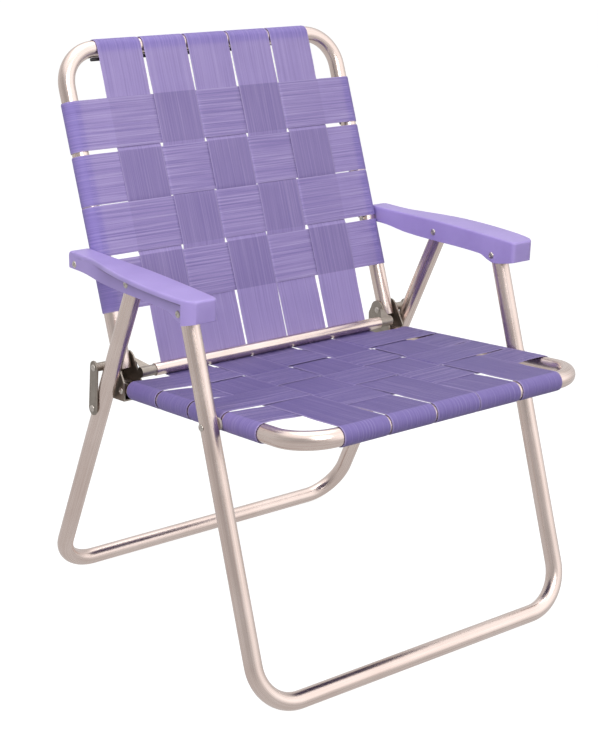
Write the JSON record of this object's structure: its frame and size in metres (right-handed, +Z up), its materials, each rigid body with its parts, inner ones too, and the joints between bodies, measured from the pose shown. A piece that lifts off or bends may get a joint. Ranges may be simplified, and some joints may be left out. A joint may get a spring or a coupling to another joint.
{
  "type": "folding webbed lawn chair",
  "caption": "Folding lawn chair: bent aluminium tube frame, lilac webbing woven in a checker over seat and back, moulded plastic armrests, linked legs that fold flat.",
  "frame": {"origin": "on the floor, under the middle of the open chair's outer box", "axes": "+Z up, the sitter faces -Y, +X to the sitter's left hand"},
  "size_m": [0.638, 0.6446, 0.8508],
  "materials": {
    "aluminium_tube": "satin",
    "zinc_steel": "satin",
    "rivet_metal": "satin",
    "lilac_plastic": "satin, fine moulded grain",
    "nylon_washer": "matte",
    "webbing": "woven polypropylene, slight sheen"
  },
  "bodies": {
    "seat_frame": {"seat_frame_tube": "aluminium_tube", "cross_tube": "aluminium_tube", "bracket_left": "zinc_steel", "bracket_right": "zinc_steel", "bracket_rivet_left": "rivet_metal", "bracket_rivet_right": "rivet_metal", "back_pivot_rivet_left": "rivet_metal", "back_pivot_rivet_right": "rivet_metal", "pivot_spacer_left": "zinc_steel", "pivot_spacer_right": "zinc_steel", "leg_pivot_washer_left": "nylon_washer", "leg_pivot_washer_right": "nylon_washer", "seat_cross_strap_1": "webbing", "seat_cross_strap_2": "webbing", "seat_cross_strap_3": "webbing", "seat_cross_strap_4": "webbing", "seat_long_strap_1": "webbing", "seat_long_strap_2": "webbing", "seat_long_strap_3": "webbing", "seat_long_strap_4": "webbing", "seat_long_strap_5": "webbing", "hinge_strap_1": "webbing", "hinge_strap_2": "webbing", "hinge_strap_3": "webbing", "hinge_strap_4": "webbing", "hinge_strap_5": "webbing"},
    "back_frame": {"back_frame_tube": "aluminium_tube", "top_rod": "nylon_washer", "back_cross_strap_1": "webbing", "back_cross_strap_2": "webbing", "back_cross_strap_3": "webbing", "back_cross_strap_4": "webbing", "back_long_strap_1": "webbing", "back_long_strap_2": "webbing", "back_long_strap_3": "webbing", "back_long_strap_4": "webbing", "back_long_strap_5": "webbing"},
    "front_leg": {"front_leg_loop": "aluminium_tube", "leg_pivot_rivet_left": "rivet_metal", "leg_pivot_rivet_right": "rivet_metal"},
    "rear_leg": {"rear_leg_loop": "aluminium_tube"},
    "armrest_left": {"armrest_left": "lilac_plastic", "armrest_rear_rivet_left": "rivet_metal", "armrest_middle_rivet_left": "rivet_metal", "armrest_front_rivet_left": "rivet_metal"},
    "link_left": {"link_left": "zinc_steel", "link_rivet_left": "rivet_metal"},
    "armrest_right": {"armrest_right": "lilac_plastic", "armrest_rear_rivet_right": "rivet_metal", "armrest_middle_rivet_right": "rivet_metal", "armrest_front_rivet_right": "rivet_metal"},
    "link_right": {"link_right": "zinc_steel", "link_rivet_right": "rivet_metal"}
  },
  "joints": [
    {"name": "back_fold", "type": "hinge", "parent": "seat_frame", "child": "back_frame", "pos_m": [0, 0.14214, 0.3955], "axis": [1, 0, 0], "range_deg": [0, 99], "deforming": ["hinge_strap_1", "hinge_strap_2", "hinge_strap_3", "hinge_strap_4", "hinge_strap_5"]},
    {"name": "front_leg_swing", "type": "hinge", "parent": "seat_frame", "child": "front_leg", "pos_m": [0, -0.13986, 0.386], "axis": [1, 0, 0], "range_deg": [0, 99.5]},
    {"name": "armrest_left_pivot", "type": "hinge", "parent": "back_frame", "child": "armrest_left", "pos_m": [0, 0.18964, 0.5415], "axis": [1, 0, 0], "range_deg": [-99.5, 0]},
    {"name": "armrest_right_pivot", "type": "hinge", "parent": "back_frame", "child": "armrest_right", "pos_m": [0, 0.18964, 0.5415], "axis": [1, 0, 0], "range_deg": [-99.5, 0]},
    {"name": "rear_leg_swing", "type": "hinge", "parent": "armrest_left", "child": "rear_leg", "pos_m": [0, 0.04265, 0.543], "axis": [1, 0, 0], "range_deg": [0, 54.5]},
    {"name": "link_left_swing", "type": "hinge", "parent": "seat_frame", "child": "link_left", "pos_m": [0, 0.14214, 0.3955], "axis": [1, 0, 0], "range_deg": [-86, 0]},
    {"name": "link_right_swing", "type": "hinge", "parent": "seat_frame", "child": "link_right", "pos_m": [0, 0.14214, 0.3955], "axis": [1, 0, 0], "range_deg": [-86, 0]}
  ],
  "couplings": [
    {"joint": "front_leg_swing", "follows": "back_fold", "ratio": 1},
    {"joint": "armrest_left_pivot", "follows": "back_fold", "ratio": -1},
    {"joint": "armrest_right_pivot", "follows": "back_fold", "ratio": -1},
    {"joint": "rear_leg_swing", "follows": "back_fold", "ratio": 0.54604},
    {"joint": "link_left_swing", "follows": "back_fold", "ratio": -0.86322},
    {"joint": "link_right_swing", "follows": "back_fold", "ratio": -0.86322}
  ]
}
